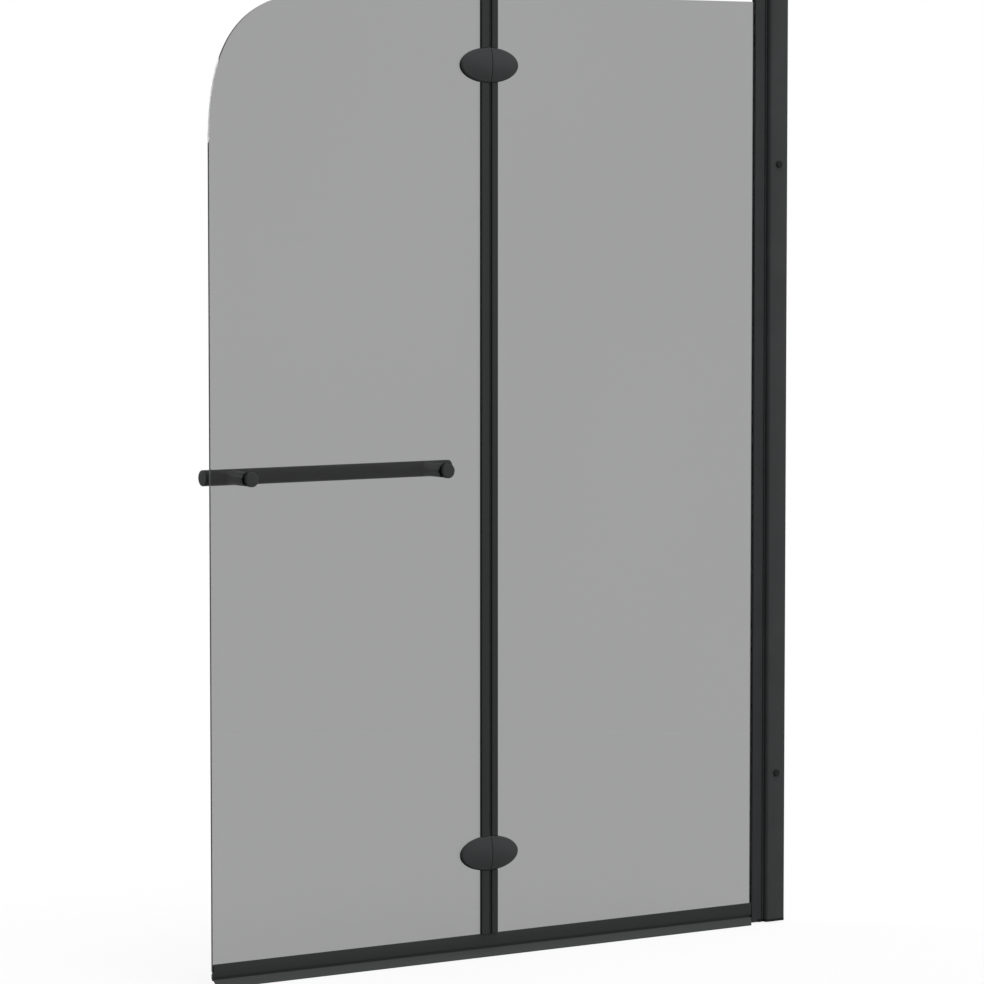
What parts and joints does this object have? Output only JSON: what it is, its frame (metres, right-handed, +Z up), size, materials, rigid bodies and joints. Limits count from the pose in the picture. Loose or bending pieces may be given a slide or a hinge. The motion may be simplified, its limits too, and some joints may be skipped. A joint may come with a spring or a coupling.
{
  "type": "folding shower screen",
  "caption": "Folding bath screen of tinted glass with a rounded top corner, dark wall profile, oval fold hinges, bottom drip seal and a towel bar.",
  "frame": {"origin": "foot of the wall channel's back face, on the middle plane of the panes", "axes": "+X into the wall, +Y to the towel bar side, +Z up"},
  "size_m": [1, 0.0839, 1.4015],
  "materials": {
    "tinted_glass": "polished, grey tint",
    "plain_aluminium": "mill finish",
    "profile_finish": "satin powder coat",
    "hinge_metal": "satin powder coat",
    "bar_metal": "satin powder coat",
    "strip_plastic": "satin",
    "lip_plastic": "satin",
    "dark_plastic": "fine grain",
    "soft_seal": "matt",
    "nylon": "plain",
    "steel": "plain"
  },
  "bodies": {
    "wall_frame": {"wall_channel": "plain_aluminium", "cover_profile": "profile_finish", "lock_screws": "steel", "lock_screw_caps": "dark_plastic", "pivot_plate_bottom": "dark_plastic", "pivot_plate_top": "dark_plastic", "pivot_pin_bottom": "steel", "pivot_pin_top": "steel", "plate_screws": "steel", "pivot_seal": "soft_seal"},
    "inner_panel": {"pivot_profile": "profile_finish", "pivot_bush_bottom": "nylon", "pivot_bush_top": "nylon", "glazing_gasket": "soft_seal", "inner_glass": "tinted_glass", "inner_rail": "strip_plastic", "inner_drip_lip": "lip_plastic", "inner_fold_strip_bottom": "strip_plastic", "inner_fold_strip_middle": "strip_plastic", "inner_fold_strip_top": "strip_plastic", "inner_hinge_cover_lower": "hinge_metal", "inner_hinge_leaf_lower": "hinge_metal", "inner_hinge_pad_front_lower": "soft_seal", "inner_hinge_pad_back_lower": "soft_seal", "inner_hinge_cover_upper": "hinge_metal", "inner_hinge_leaf_upper": "hinge_metal", "inner_hinge_pad_front_upper": "soft_seal", "inner_hinge_pad_back_upper": "soft_seal", "inner_hinge_screws": "steel", "hinge_pin_lower": "steel", "hinge_pin_upper": "steel"},
    "outer_panel": {"outer_glass": "tinted_glass", "outer_rail": "strip_plastic", "outer_drip_lip": "lip_plastic", "outer_fold_strip_bottom": "strip_plastic", "outer_fold_strip_middle": "strip_plastic", "outer_fold_strip_top": "strip_plastic", "fold_seal_bottom": "soft_seal", "fold_seal_middle": "soft_seal", "fold_seal_top": "soft_seal", "outer_hinge_cover_lower": "hinge_metal", "outer_hinge_leaf_lower": "hinge_metal", "outer_hinge_pad_front_lower": "soft_seal", "outer_hinge_pad_back_lower": "soft_seal", "outer_hinge_cover_upper": "hinge_metal", "outer_hinge_leaf_upper": "hinge_metal", "outer_hinge_pad_front_upper": "soft_seal", "outer_hinge_pad_back_upper": "soft_seal", "outer_hinge_screws": "steel", "towel_bar": "bar_metal", "bar_end_cap_outer": "dark_plastic", "bar_end_cap_inner": "dark_plastic", "bar_post_outer": "bar_metal", "bar_post_inner": "bar_metal", "bar_knob_outer": "bar_metal", "bar_knob_inner": "bar_metal", "bar_studs": "steel", "bar_washers": "soft_seal"}
  },
  "joints": [
    {"name": "wall_pivot", "type": "hinge", "parent": "wall_frame", "child": "inner_panel", "pos_m": [-0.0412, 0, 0], "axis": [0, 0, 1], "range_deg": [-85, 90]},
    {"name": "fold_hinge", "type": "hinge", "parent": "inner_panel", "child": "outer_panel", "pos_m": [-0.5355, 0.0095, 0], "axis": [0, 0, -1], "range_deg": [0, 115]}
  ]
}
